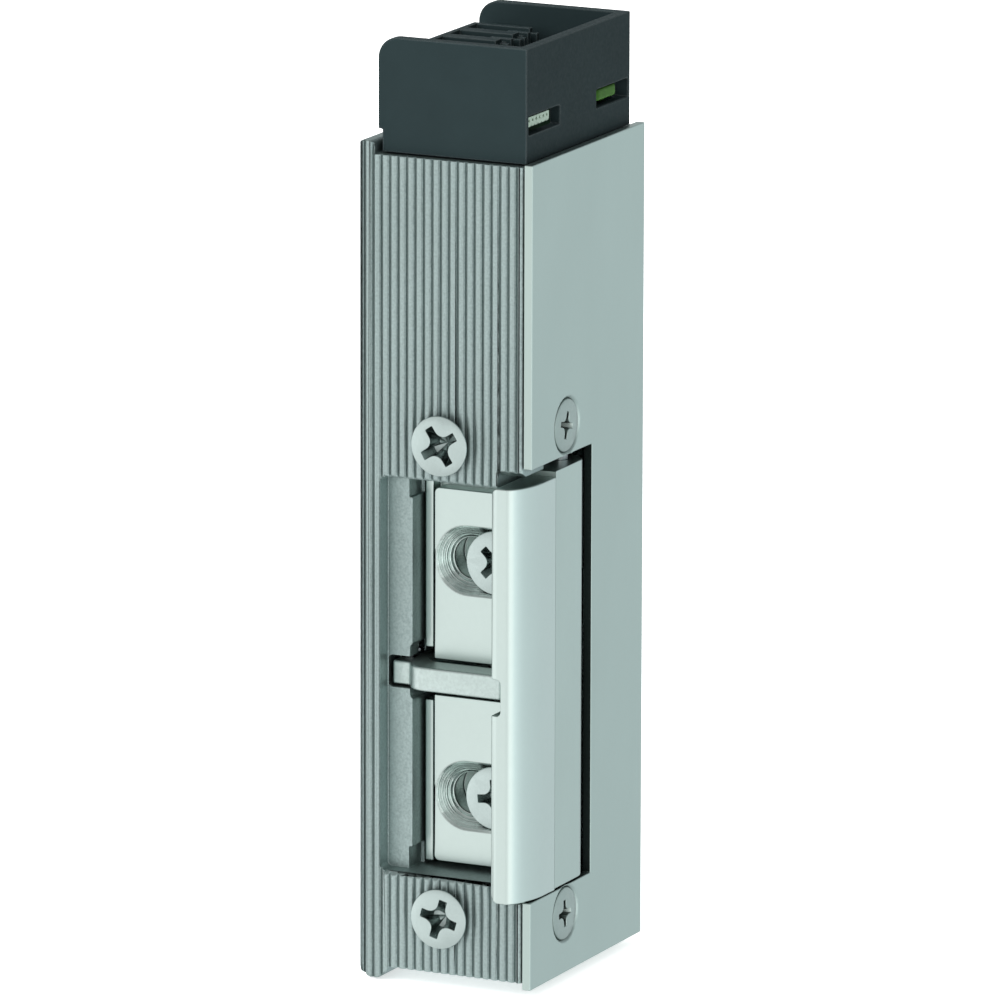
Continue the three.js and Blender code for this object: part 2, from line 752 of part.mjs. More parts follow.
// An L of flat steel over the coil and down its front, with two ears that carry the armature's pin.
function coilYoke() {
  const { left, right, front, legBack, back, top, thickness, ear } = YOKE;
  const { pivotY, pivotZ, pin } = ARMATURE;
  const roof = box(left, right, front, back, top - thickness, top);
  const leg = box(left, right, front, legBack, pivotZ + 1.8, top);
  const ears = [left, right - ear].map((x) => box(x, x + ear, front - 0.1, 5, pivotZ - 1.2, pivotZ + 2));
  const hole = rod("x", [pivotY, pivotZ], left - 1, right + 1, pin + 0.08, pin + 0.08, 12);
  return geometryOf(cut(join(roof, leg, ...ears), hole));
}

function coilBobbin() {
  const { x, y, bottom, top, core, barrel, flange, cheek } = COIL;
  const tube = rod("z", [x, y], bottom, top, barrel);
  const cheeks = [bottom, top - cheek].map((z) => rod("z", [x, y], z, z + cheek, flange, flange, 32));
  const hole = rod("z", [x, y], bottom - 1, top + 1, core + GAP);
  return geometryOf(cut(join(tube, ...cheeks), hole));
}

function coilWinding() {
  const { x, y, bottom, top, barrel, flange, cheek } = COIL;
  const outside = rod("z", [x, y], bottom + cheek + GAP, top - cheek - GAP, flange - 0.5, flange - 0.5, 32);
  return geometryOf(cut(outside, rod("z", [x, y], bottom, top, barrel + GAP)));
}

// Terminals ----------------------------------------------------------------------------------

// A tray of three walls, open at the left, whose front and back walls have rounded top corners.
function wallOutline() {
  const { left, footLeft, right, bottom, step, top, corner } = TERMINAL;
  const shape = new THREE.Shape();
  shape.moveTo(footLeft, bottom);
  shape.lineTo(right, bottom);
  shape.lineTo(right, top);
  shape.lineTo(left + corner, top);
  shape.absarc(left + corner, top - corner, corner, Math.PI / 2, Math.PI);
  shape.lineTo(left, step);
  shape.lineTo(footLeft, step);
  return shape;
}

function terminalHousing() {
  const { left, footLeft, right, front, back, bottom, step, top, wall, floor } = TERMINAL;
  const block = prism("y", wallOutline(), front, back, 8);
  const room = box(left - 1, right - wall, front + wall, back - wall, floor, top + 1);
  const windows = TERMINAL_WINDOWS.map((window) =>
    box(right - wall - 0.4, right + 1, window.front, window.back, window.bottom, window.top),
  );
  const footWay = box(left - 1, footLeft, front - 1, back + 1, bottom - 1, step);
  return geometryOf(cut(block, room, ...windows, wireWay(bottom - 1, floor + 1), footWay));
}

const poleY = (i) => POLES.first + i * POLES.pitch;

// A stepped moulding for some of the poles: wire funnels on the high side, screw wells on the low side.
function terminalBlock(from, to) {
  const { pitch, left, step, right, low, top, groove, screwX, well } = POLES;
  const { funnelLeft, funnelRight, funnelHalf, funnelDepth } = POLES;
  const base = TERMINAL.floor + GAP;
  const y0 = poleY(from) - pitch / 2 + GAP / 2;
  const y1 = poleY(to - 1) + pitch / 2 - GAP / 2;
  const high = box(left, step, y0, y1, base, top);
  const lowSide = box(step - 1, right, y0, y1, base, low);
  const cuts = [];
  for (let i = from; i < to; i += 1) {
    const y = poleY(i);
    cuts.push(box(left + groove, step + 1, y - funnelHalf, y + funnelHalf, top - groove, top + 1));
    cuts.push(box(funnelLeft, funnelRight, y - funnelHalf, y + funnelHalf, top - funnelDepth, top + 1));
    cuts.push(rod("z", [screwX, y], low - 3.2, low + 1, well, well, 14));
  }
  return geometryOf(cut(join(high, lowSide), ...cuts));
}

function clampScrew(i) {
  const { screwX, well, low } = POLES;
  const y = poleY(i);
  const head = rod("z", [screwX, y], low - 1.9, low - 0.5, well - 0.2, well - 0.2, 14);
  const shank = rod("z", [screwX, y], low - 3, low - 1.8, 0.9, 0.9, 14);
  const slot = box(screwX - PAST, screwX + PAST, y - 0.25, y + 0.25, low - 1.1, low);
  return geometryOf(cut(join(head, shank), slot));
}

// The clamp inside a wire funnel, a small cage open at the top.
function wireClamp(i) {
  const { funnelLeft, funnelRight, funnelHalf, funnelDepth, top } = POLES;
  const y = poleY(i);
  const floor = top - funnelDepth + CLAMP.gap;
  const left = funnelLeft + CLAMP.gap;
  const right = funnelRight - CLAMP.gap;
  const half = funnelHalf - CLAMP.gap;
  const inner = half - CLAMP.wall;
  const cage = box(left, right, y - half, y + half, floor, floor + CLAMP.height);
  const inside = box(left + CLAMP.wall, right - CLAMP.wall, y - inner, y + inner, floor + CLAMP.wall, top);
  return geometryOf(cut(cage, inside));
}

function circuitBoard() {
  const { left, right, front, back, bottom, top, holeX, holeY, hole } = BOARD;
  const board = box(left, right, front, back, bottom, top);
  return geometryOf(cut(board, rod("z", [holeX, holeY], bottom - 1, top + 1, hole, hole, 12)));
}

// The flat suppressor, whose edge stands in the rear window, on two leads.
function varistor() {
  const { left, right, front, back, bottom, top, corner, lead } = VARISTOR;
  const body = prism("z", roundedBox(left, right, front, back, corner), bottom, top, 5);
  const leads = [front + corner, back - corner].map((y) =>
    rod("z", [left + corner, y], BOARD.top + GAP, bottom + 0.5, lead, lead, 10),
  );
  return geometryOf(join(body, ...leads));
}

// The strip that stands on the board and ends in the front window.
function contactStrip() {
  const { left, foot, right, front, innerFront, back, bottom, top, inner } = STRIP;
  const outline = polygon([
    [left, BOARD.top + GAP],
    [foot, BOARD.top + GAP],
    [foot, bottom],
    [right, bottom],
    [right, top],
    [left, top],
  ]);
  const strip = prism("y", outline, front, back);
  return geometryOf(cut(strip, box(left - 1, inner, front - 1, innerFront, bottom - PAST, top + 1)));
}

// Assembly -----------------------------------------------------------------------------------

const strike = new THREE.Group();
const coordinates = new THREE.Group();
coordinates.position.set(
  -FACEPLATE_SCREW.x,
  0,
  -(FACEPLATE_SCREW.upper + FACEPLATE_SCREW.lower) / 2,
);
strike.add(coordinates);

function add(name, geometry, finish) {
  const mesh = new THREE.Mesh(geometry, new THREE.MeshStandardMaterial(FINISHES[finish]));
  mesh.name = name;
  coordinates.add(mesh);
}

const degrees = THREE.MathUtils.degToRad;

add("housing", housing(), "casting");
add("cover_plate", coverPlate(), "cover");
add("cover_screw_upper", coverScrew(COVER_SCREW.upper, degrees(8)), "screw");
add("cover_screw_lower", coverScrew(COVER_SCREW.lower, degrees(-10)), "screw");
add("faceplate_screw_upper", faceplateScrew(FACEPLATE_SCREW.upper, degrees(-27)), "screw");
add("faceplate_screw_lower", faceplateScrew(FACEPLATE_SCREW.lower, degrees(17)), "screw");

add("keeper_base", keeperBase(), "keeper");
add("keeper_insert", keeperInsert(), "keeper");
slotHeights().forEach((z, i) => {
  add("adjusting_screw_" + ["upper", "lower"][i], adjustingScrew(z, degrees(i ? 5 : 42)), "screw");
});
add("keeper_pin", keeperPin(), "steel");
add("keeper_spring", keeperSpring(), "spring");

add("latch_lever", latchLever(), "keeper");
add("latch_lever_pin", latchLeverPin(), "steel");
add("latch_lever_spring", latchLeverSpring(), "spring");
add("switch_body", switchBody(), "plastic");
add("switch_plunger", switchPlunger(), "bobbin");

add("locking_lever", lockingLever(), "steel");
add("locking_lever_pin", lockingLeverPin(), "steel");
add("locking_lever_spring", lockingLeverSpring(), "spring");
add("armature", armature(), "iron");
add("armature_pin", armaturePin(), "steel");
add("armature_spring", armatureSpring(), "spring");

add("coil_core", coilCore(), "iron");
add("coil_yoke", coilYoke(), "iron");
add("coil_bobbin", coilBobbin(), "bobbin");
add("coil_winding", coilWinding(), "copper");

add("terminal_housing", terminalHousing(), "plastic");
add("terminal_block_coil", terminalBlock(0, POLES.coil), "plastic");
add("terminal_block_switch", terminalBlock(POLES.coil, POLES.count), "plastic");
for (let i = 0; i < POLES.count; i += 1) {
  add("clamp_screw_" + (i + 1), clampScrew(i), "brass");
  add("wire_clamp_" + (i + 1), wireClamp(i), "tin");
}
add("circuit_board", circuitBoard(), "board");
add("varistor", varistor(), "varistor");
add("contact_strip", contactStrip(), "tin");

export default strike;
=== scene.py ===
import bmesh
import bpy
import json
import math
from mathutils import Matrix, Vector


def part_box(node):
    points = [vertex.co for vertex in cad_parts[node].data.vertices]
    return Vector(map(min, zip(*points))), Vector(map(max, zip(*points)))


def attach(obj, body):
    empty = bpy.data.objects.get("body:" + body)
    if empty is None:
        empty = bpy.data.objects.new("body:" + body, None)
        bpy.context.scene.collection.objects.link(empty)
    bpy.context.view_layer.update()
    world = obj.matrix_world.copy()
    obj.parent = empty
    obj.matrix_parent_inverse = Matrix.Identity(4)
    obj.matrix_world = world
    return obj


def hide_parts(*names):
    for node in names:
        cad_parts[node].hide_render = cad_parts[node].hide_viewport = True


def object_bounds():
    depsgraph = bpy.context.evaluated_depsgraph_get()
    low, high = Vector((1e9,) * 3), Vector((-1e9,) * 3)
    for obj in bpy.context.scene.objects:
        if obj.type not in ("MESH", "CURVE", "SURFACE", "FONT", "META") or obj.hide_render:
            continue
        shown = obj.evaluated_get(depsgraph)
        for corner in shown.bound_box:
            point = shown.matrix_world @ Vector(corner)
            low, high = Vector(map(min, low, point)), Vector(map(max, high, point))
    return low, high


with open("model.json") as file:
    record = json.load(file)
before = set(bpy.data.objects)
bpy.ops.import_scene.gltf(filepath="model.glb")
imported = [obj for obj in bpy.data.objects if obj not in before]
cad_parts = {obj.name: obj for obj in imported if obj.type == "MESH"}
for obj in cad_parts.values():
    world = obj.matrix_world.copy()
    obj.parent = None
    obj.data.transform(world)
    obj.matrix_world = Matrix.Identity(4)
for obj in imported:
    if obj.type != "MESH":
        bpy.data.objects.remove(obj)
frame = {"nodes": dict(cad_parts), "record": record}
cad_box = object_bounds()
scene = bpy.context.scene

# Lengths below are millimetres in the case's own coordinates: X from the left side, Y from the rib
# crests to the back, Z from the cover plate's lower edge. HOME is where those coordinates start.
MM = 0.001
COVER_INNER = 19.7
cover_low = Vector(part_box("cover_plate")[0])
HOME = Vector((cover_low.x - COVER_INNER * MM, cover_low.y, cover_low.z))
TAU = 2 * math.pi
TO_METRES = Matrix.Translation(HOME) @ Matrix.Scale(MM, 4)
TO_CASE = TO_METRES.inverted()


# Camera and light -----------------------------------------------------------------------------

CAMERA = {
    "place": (0.52176, -1.06695, 0.28722), "azimuth": 0.449736, "elevation": 0.221314, "roll": 0.0025457,
    "sensor": 36, "lens": 410.27, "near": 0.05, "far": 100,
}


def look(azimuth, elevation, roll):
    """The turn of a camera that looks down at the object from a direction, in radians."""
    back = Vector((
        math.sin(azimuth) * math.cos(elevation),
        -math.cos(azimuth) * math.cos(elevation),
        math.sin(elevation),
    ))
    turn = (-back).to_track_quat("-Z", "Y").to_matrix().to_4x4()
    return turn @ Matrix.Rotation(roll, 4, "Z")


camera = bpy.data.objects.new("camera", bpy.data.cameras.new("camera"))
scene.collection.objects.link(camera)
camera.matrix_world = Matrix.Translation(CAMERA["place"]) @ look(
    CAMERA["azimuth"], CAMERA["elevation"], CAMERA["roll"]
)
camera.data.sensor_width = CAMERA["sensor"]
camera.data.lens = CAMERA["lens"]
camera.data.clip_start = CAMERA["near"]
camera.data.clip_end = CAMERA["far"]
scene.camera = camera
scene.view_settings.view_transform = "Standard"


def softbox(name, position, width, height, watts):
    """A rectangular lamp aimed at the object, that shows neither itself nor its reflection."""
    data = bpy.data.lights.new(name, "AREA")
    data.shape = "RECTANGLE"
    data.size = width
    data.size_y = height
    data.energy = watts
    light = bpy.data.objects.new(name, data)
    scene.collection.objects.link(light)
    light.location = position
    light.rotation_mode = "QUATERNION"
    light.rotation_quaternion = (-Vector(position)).to_track_quat("-Z", "Y")
    light.visible_camera = False
    light.visible_glossy = False


softbox("key", (-0.6, -0.95, 0.8), width=1.6, height=1.6, watts=22)
softbox("back", (-0.5, 0.9, 0.7), width=1.4, height=1.2, watts=9)

SKY = {"colour": (0.96, 0.985, 0.98, 1), "strength": 0.68}
world = bpy.data.worlds.new("studio")
scene.world = world
world.use_nodes = True
world.node_tree.nodes["Background"].inputs["Color"].default_value = SKY["colour"]
world.node_tree.nodes["Background"].inputs["Strength"].default_value = SKY["strength"]

# The studio's walls, seen only in reflections. Each stop of TENT_WALLS is a place round the object,
# as the share of a turn that starts at -X and runs over -Y to +X, then a brightness, then whether it
# is cool. Each stop of TENT_HEIGHTS is the same from the floor up.
TENT = {"radius": 2.6, "low": -1.6, "high": 1.6, "sides": 96, "strength": 1.36}
RAMP_SCALE = 2  # a ramp holds half of each level, because it stops at 1
TENT_WALLS = [
    (0.0, 0.75, 0), (0.06, 1.12, 0), (0.14, 1.12, 0), (0.178, 0.98, 0), (0.35, 0.98, 0),
    (0.38, 1.3, 0), (0.43, 1.35, 0), (0.455, 1.15, 1), (0.49, 0.93, 1), (0.54, 0.82, 1),
    (0.678, 0.675, 1), (0.75, 0.65, 1), (0.9, 0.8, 0), (1.0, 0.75, 0),
]
TENT_HEIGHTS = [(0.0, 0.8, 0), (0.3, 1.0, 0), (0.5, 1.0, 0), (0.6, 0.72, 0), (0.99, 0.6, 0), (1.0, 0.35, 0)]
COOL = (0.93, 1.0, 1.03)


def ramp(tree, value, stops):
    """A colour ramp of levels, some of them cool."""
    node = tree.nodes.new("ShaderNodeValToRGB")
    elements = node.color_ramp.elements
    elements[0].position = stops[0][0]
    elements[1].position = stops[-1][0]
    for position, _, _ in stops[1:-1]:
        elements.new(position)
    for element, (_, level, cool) in zip(elements, stops):
        tint = COOL if cool else (1, 1, 1)
        element.color = (*[level / RAMP_SCALE * t for t in tint], 1)
    tree.links.new(value, node.inputs["Fac"])
    return node.outputs["Color"]


def tent():
    """A closed drum of light round the object, whose brightness is one ramp times the other."""
    mesh = bpy.data.meshes.new("tent")
    n, radius = TENT["sides"], TENT["radius"]
    ring = [(math.cos(TAU * i / n) * radius, math.sin(TAU * i / n) * radius) for i in range(n)]
    corners = [(x, y, z) for z in (TENT["low"], TENT["high"]) for x, y in ring]
    walls = [(i, (i + 1) % n, n + (i + 1) % n, n + i) for i in range(n)]
    mesh.from_pydata(corners, [], [*walls, tuple(range(n)), tuple(range(n, 2 * n))])
    wall = bpy.data.objects.new("tent", mesh)
    scene.collection.objects.link(wall)
    material = bpy.data.materials.new("tent")
    material.use_nodes = True
    tree = material.node_tree
    tree.nodes.clear()
    place = tree.nodes.new("ShaderNodeTexCoord")
    turn = tree.nodes.new("ShaderNodeTexGradient")
    turn.gradient_type = "RADIAL"
    tree.links.new(place.outputs["Object"], turn.inputs["Vector"])
    apart = tree.nodes.new("ShaderNodeSeparateXYZ")
    tree.links.new(place.outputs["Generated"], apart.inputs["Vector"])
    product = tree.nodes.new("ShaderNodeVectorMath")
    product.operation = "MULTIPLY"
    tree.links.new(ramp(tree, turn.outputs["Fac"], TENT_WALLS), product.inputs[0])
    tree.links.new(ramp(tree, apart.outputs["Z"], TENT_HEIGHTS), product.inputs[1])
    glow = tree.nodes.new("ShaderNodeEmission")
    glow.inputs["Strength"].default_value = TENT["strength"] * RAMP_SCALE ** 2
    tree.links.new(product.outputs["Vector"], glow.inputs["Color"])
    output = tree.nodes.new("ShaderNodeOutputMaterial")
    tree.links.new(glow.outputs["Emission"], output.inputs["Surface"])
    mesh.materials.append(material)
    for kind in ("camera", "diffuse", "transmission", "volume_scatter", "shadow"):
        setattr(wall, "visible_" + kind, False)


tent()


# Materials ------------------------------------------------------------------------------------

def scaled(colour, factor, lift=0.0):
    """The colour times a factor, with as much added to each channel as the lift."""
    return tuple(min(1, c * factor + lift) for c in colour)


BEVEL_SAMPLES = 4
SHADE_SAMPLES = 6
SHARP_DOT, FLAT_DOT = 0.8, 0.99  # how far an edge's blended normal leans from the face's
CLOSED_SKY, OPEN_SKY = 0.15, 0.85  # share of open directions in a recess and on an open face
NOISE_LOW, NOISE_HIGH = 0.3, 0.7  # the range that holds most of a noise
NOISE_ROUGHNESS = 0.55  # how strong the noise's small detail is


class Surface:
    """A node material whose colour, roughness and relief vary over the surface at real sizes."""

    def __init__(self, name, colour, roughness, metallic=0.0, **sockets):
        self.material = bpy.data.materials.new(name)
        self.material.use_nodes = True
        self.tree = self.material.node_tree
        self.shader = self.tree.nodes["Principled BSDF"]
        self.shader.inputs["Metallic"].default_value = metallic
        self.shader.inputs["Roughness"].default_value = roughness
        for socket, value in sockets.items():
            self.shader.inputs[socket.replace("_", " ")].default_value = value
        self.colour = colour
        self.place = self.node("ShaderNodeTexCoord").outputs["Object"]
        self.normal = None

    def node(self, kind, **settings):
        made = self.tree.nodes.new(kind)
        for key, value in settings.items():
            setattr(made, key, value)
        return made

    def link(self, a, b):
        self.tree.links.new(a, b)

    def noise(self, size_mm, detail=3.0, stretch=(1, 1, 1)):
        """Noise with features about size_mm across, longer along an axis by its stretch."""
        mapping = self.node("ShaderNodeMapping")
        mapping.inputs["Scale"].default_value = [1 / (MM * size_mm * s) for s in stretch]
        self.link(self.place, mapping.inputs["Vector"])
        noise = self.node("ShaderNodeTexNoise")
        noise.inputs["Scale"].default_value = 1.0
        noise.inputs["Detail"].default_value = detail
        noise.inputs["Roughness"].default_value = NOISE_ROUGHNESS
        self.link(mapping.outputs["Vector"], noise.inputs["Vector"])
        return noise.outputs["Fac"]

    def remap(self, value, low, high, start=NOISE_LOW, end=NOISE_HIGH):
        """Low to high as the value goes from start to end."""
        node = self.node("ShaderNodeMapRange")
        node.inputs["From Min"].default_value = start
        node.inputs["From Max"].default_value = end
        node.inputs["To Min"].default_value = low
        node.inputs["To Max"].default_value = high
        self.link(value, node.inputs["Value"])
        return node.outputs["Result"]

    def mix(self, factor, a, b):
        """One colour or colour socket turning into the other."""
        node = self.node("ShaderNodeMix", data_type="RGBA")
        self.link(factor, node.inputs["Factor"])
        for socket, colour in ((node.inputs["A"], a), (node.inputs["B"], b)):
            if isinstance(colour, tuple):
                socket.default_value = (*colour, 1)
            else:
                self.link(colour, socket)
        return node.outputs["Result"]

    def mottle(self, value, amount):
        """The surface's colour, a little darker and lighter with a noise."""
        darker, lighter = scaled(self.colour, 1 - amount), scaled(self.colour, 1 + amount)
        return self.mix(self.remap(value, 0, 1), darker, lighter)

    def bump(self, height, distance_mm):
        """Relief of that depth, on top of any relief or rounding so far."""
        node = self.node("ShaderNodeBump")
        node.inputs["Strength"].default_value = 1.0
        node.inputs["Distance"].default_value = distance_mm * MM
        self.link(height, node.inputs["Height"])
        if self.normal is not None:
            self.link(self.normal, node.inputs["Normal"])
        self.normal = node.outputs["Normal"]

    def edges(self, radius_mm):
        """1 along edges and corners, 0 on open faces."""
        bevel = self.node("ShaderNodeBevel", samples=BEVEL_SAMPLES)
        bevel.inputs["Radius"].default_value = radius_mm * MM
        geometry = self.node("ShaderNodeNewGeometry")
        dot = self.node("ShaderNodeVectorMath", operation="DOT_PRODUCT")
        self.link(bevel.outputs["Normal"], dot.inputs[0])
        self.link(geometry.outputs["Normal"], dot.inputs[1])
        return self.remap(dot.outputs["Value"], 1, 0, SHARP_DOT, FLAT_DOT)

    def recesses(self, reach_mm):
        """1 in narrow gaps and corners, 0 on open faces."""
        node = self.node("ShaderNodeAmbientOcclusion", samples=SHADE_SAMPLES)
        node.inputs["Distance"].default_value = reach_mm * MM
        return self.remap(node.outputs["AO"], 1, 0, CLOSED_SKY, OPEN_SKY)

    def rounded(self, radius_mm):
        """Edges that catch light as if they had this radius."""
        bevel = self.node("ShaderNodeBevel", samples=BEVEL_SAMPLES)
        bevel.inputs["Radius"].default_value = radius_mm * MM
        self.normal = bevel.outputs["Normal"]

    def finish(self, colour, roughness=None):
        """Joins the last nodes to the shader and gives the material."""
        self.link(colour, self.shader.inputs["Base Color"])
        if roughness is not None:
            self.link(roughness, self.shader.inputs["Roughness"])
        if self.normal is not None:
            self.link(self.normal, self.shader.inputs["Normal"])
        return self.material


BROAD_MM = {"metal": 9, "plastic": 6}  # size of the soft stains
PIT_SHADE = 0.6  # how dark the low spots of metal's grain are
WORN_LIGHT = 1.5  # how much paler a rubbed metal edge is
# Painted shade: metal's colour in recesses darkens towards this share of itself, as the occlusion mask
# grows.
PAINTED_RECESS_SHADE = 0.12  # how dark metal is where nothing but its neighbours is reflected
METAL_WORN_WIDTH, PLASTIC_WORN_AND_HIGHLIGHT_WIDTH = 2.2, 2  # widths of a rubbed edge, in edge radii
# Plastic's paler edges are partly rubbed and partly a painted highlight along the edge line: how much
# lighter, the lift and the share.
PLASTIC_WORN_AND_HIGHLIGHT = {"light": 2.2, "lift": 0.1, "share": 0.5}
PLASTIC_SHEEN = 0.03  # specular level

# How much smoother and rougher than its roughness a surface gets with its grain. Metal's spread is
# a share of its speckle.
METAL_GLOSS = (0.2, 0.3)
PLASTIC_GLOSS = (0.06, 0.1)
TURNED_GLOSS = (0.06, 0.1)


def metal(name, colour, roughness, grain_mm, relief_mm, mottle=0.08, wear=0.3, edge=0.12,
          speckle=0.35, painted_shade=0.0, reach=2.0):
    """Metal with a fine grain, soft broad stains, paler rubbed edges and painted shade in its recesses."""
    s = Surface(name, colour, roughness, metallic=1.0)
    if edge:
        s.rounded(edge)
    fine = s.noise(grain_mm, 4)
    broad = s.noise(BROAD_MM["metal"], 2, (1, 1, 2))
    s.bump(fine, relief_mm)
    body = s.mottle(broad, mottle)
    skin = s.mix(s.remap(fine, 0, speckle), body, scaled(colour, PIT_SHADE))
    if edge:
        worn = s.remap(s.edges(edge * METAL_WORN_WIDTH), 0, wear, 0, 1)
        skin = s.mix(worn, skin, scaled(colour, WORN_LIGHT))
    # Painted shade: the recesses that the ambient occlusion finds are darkened in the colour itself.
    if painted_shade:
        skin = s.mix(s.remap(s.recesses(reach), 0, painted_shade, 0, 1), skin, scaled(colour, PAINTED_RECESS_SHADE))
    smoother, rougher = METAL_GLOSS
    return s.finish(skin, s.remap(fine, roughness - smoother * speckle, roughness + rougher * speckle))


def plastic(name, colour, roughness, grain_mm=0.35, relief_mm=0.012, mottle=0.15, edge=0.15):
    """Moulded plastic with a fine spark-eroded texture and paler edges, partly rubbed and partly a painted
    highlight.
    """
    s = Surface(name, colour, roughness, Specular_IOR_Level=PLASTIC_SHEEN)
    s.rounded(edge)
    fine = s.noise(grain_mm, 3)
    broad = s.noise(BROAD_MM["plastic"], 3)
    s.bump(fine, relief_mm)
    body = s.mottle(broad, mottle)
    # Partly rubbed, partly a painted highlight: the edges are lightened in the colour itself.
    worn = s.remap(s.edges(edge * PLASTIC_WORN_AND_HIGHLIGHT_WIDTH), 0, PLASTIC_WORN_AND_HIGHLIGHT["share"], 0, 1)
    skin = s.mix(worn, body, scaled(colour, PLASTIC_WORN_AND_HIGHLIGHT["light"], PLASTIC_WORN_AND_HIGHLIGHT["lift"]))
    smoother, rougher = PLASTIC_GLOSS
    return s.finish(skin, s.remap(fine, roughness - smoother, roughness + rougher))


# The two slots of the keeper's insert: the middle height between them, the centres of the round ends,
# and the radii at the surface and through the plate.
SLOT = {"middle": 32.68, "half_gap": 13.0, "rim": 3.87, "throat": 2.3, "left": 11.21, "right": 14.5}
# The rings cut round them: their spacing and depth, the grain and the stains, and the dark lines.
TURNED = {
    "pitch_mm": 0.17, "relief_mm": 0.05, "grain_mm": 0.35, "grain_share": 0.3, "stain_mm": 2.0,
    "stain": 0.25, "line_low": 0.45, "line_high": 0.8, "line_share": 0.45, "line_shade": 0.5,
}


def turned(name, colour, roughness):
    """Metal faced in uneven rings round the two slots of the keeper's insert."""
    s = Surface(name, colour, roughness, metallic=1.0)
    apart = s.node("ShaderNodeSeparateXYZ")
    s.link(s.place, apart.inputs["Vector"])

    def math_node(operation, a, b=0.0):
        node = s.node("ShaderNodeMath", operation=operation)
        for socket, value in ((node.inputs[0], a), (node.inputs[1], b)):
            if isinstance(value, (int, float)):
                socket.default_value = value
            else:
                s.link(value, socket)
        return node.outputs["Value"]

    def past(axis, middle, half):
        """How far the surface is past a stretch on both sides of a middle."""
        away = math_node("ABSOLUTE", math_node("SUBTRACT", apart.outputs[axis], middle))
        return math_node("SUBTRACT", away, half)

    middle = HOME + Vector(((SLOT["left"] + SLOT["right"]) / 2, 0, SLOT["middle"])) * MM
    aside = past("X", middle.x, (SLOT["right"] - SLOT["left"]) / 2 * MM)
    beyond = math_node("MAXIMUM", aside, 0.0)
    level = past("Z", middle.z, SLOT["half_gap"] * MM)
    squared = math_node("ADD", math_node("MULTIPLY", beyond, beyond), math_node("MULTIPLY", level, level))
    distance = math_node("SQRT", squared)
    cuts = s.node("ShaderNodeTexNoise", noise_dimensions="1D")
    cuts.inputs["Scale"].default_value = 1.0
    cuts.inputs["Detail"].default_value = 2.0
    s.link(math_node("MULTIPLY", distance, 1 / (TURNED["pitch_mm"] * MM)), cuts.inputs["W"])
    grain = s.noise(TURNED["grain_mm"], 3)
    height = math_node("ADD", cuts.outputs["Fac"], math_node("MULTIPLY", grain, TURNED["grain_share"]))
    s.bump(height, TURNED["relief_mm"])
    body = s.mottle(s.noise(TURNED["stain_mm"], 2), TURNED["stain"])
    lines = s.remap(height, TURNED["line_share"], 0, TURNED["line_low"], TURNED["line_high"])
    lined = s.mix(lines, body, scaled(colour, TURNED["line_shade"]))
    smoother, rougher = TURNED_GLOSS
    return s.finish(lined, s.remap(grain, roughness - smoother, roughness + rougher))


# Wound wire: pitches in one unit of the wave texture, how uneven the rings are, the stains, the dark
# gaps between the rings, and how much rougher and smoother the gaps and the crests are.
WINDING = {
    "bands": 3.2, "distortion": 0.4, "stain_mm": 1.2, "stain": 0.2, "gap": 0.5, "gap_share": 0.6,
    "gap_shade": 0.4, "rougher": 0.1, "smoother": 0.05,
}


def stripes(name, colour, roughness, pitch_mm, relief_mm):
    """Enamelled wire wound in rings about Z."""
    s = Surface(name, colour, roughness, metallic=1.0)
    wave = s.node("ShaderNodeTexWave", bands_direction="Z", wave_profile="SIN")
    mapping = s.node("ShaderNodeMapping")
    mapping.inputs["Scale"].default_value = [1 / (MM * pitch_mm * WINDING["bands"])] * 3
    s.link(s.place, mapping.inputs["Vector"])
    s.link(mapping.outputs["Vector"], wave.inputs["Vector"])
    wave.inputs["Scale"].default_value = 1.0
    wave.inputs["Distortion"].default_value = WINDING["distortion"]
    height = wave.outputs["Fac"]
    s.bump(height, relief_mm)
    body = s.mottle(s.noise(WINDING["stain_mm"], 3), WINDING["stain"])
    gaps = s.remap(height, WINDING["gap"], 0, 0, WINDING["gap_share"])
    shaded = s.mix(gaps, body, scaled(colour, WINDING["gap_shade"]))
    gap_roughness, crest_roughness = roughness + WINDING["rougher"], roughness - WINDING["smoother"]
    return s.finish(shaded, s.remap(height, gap_roughness, crest_roughness))


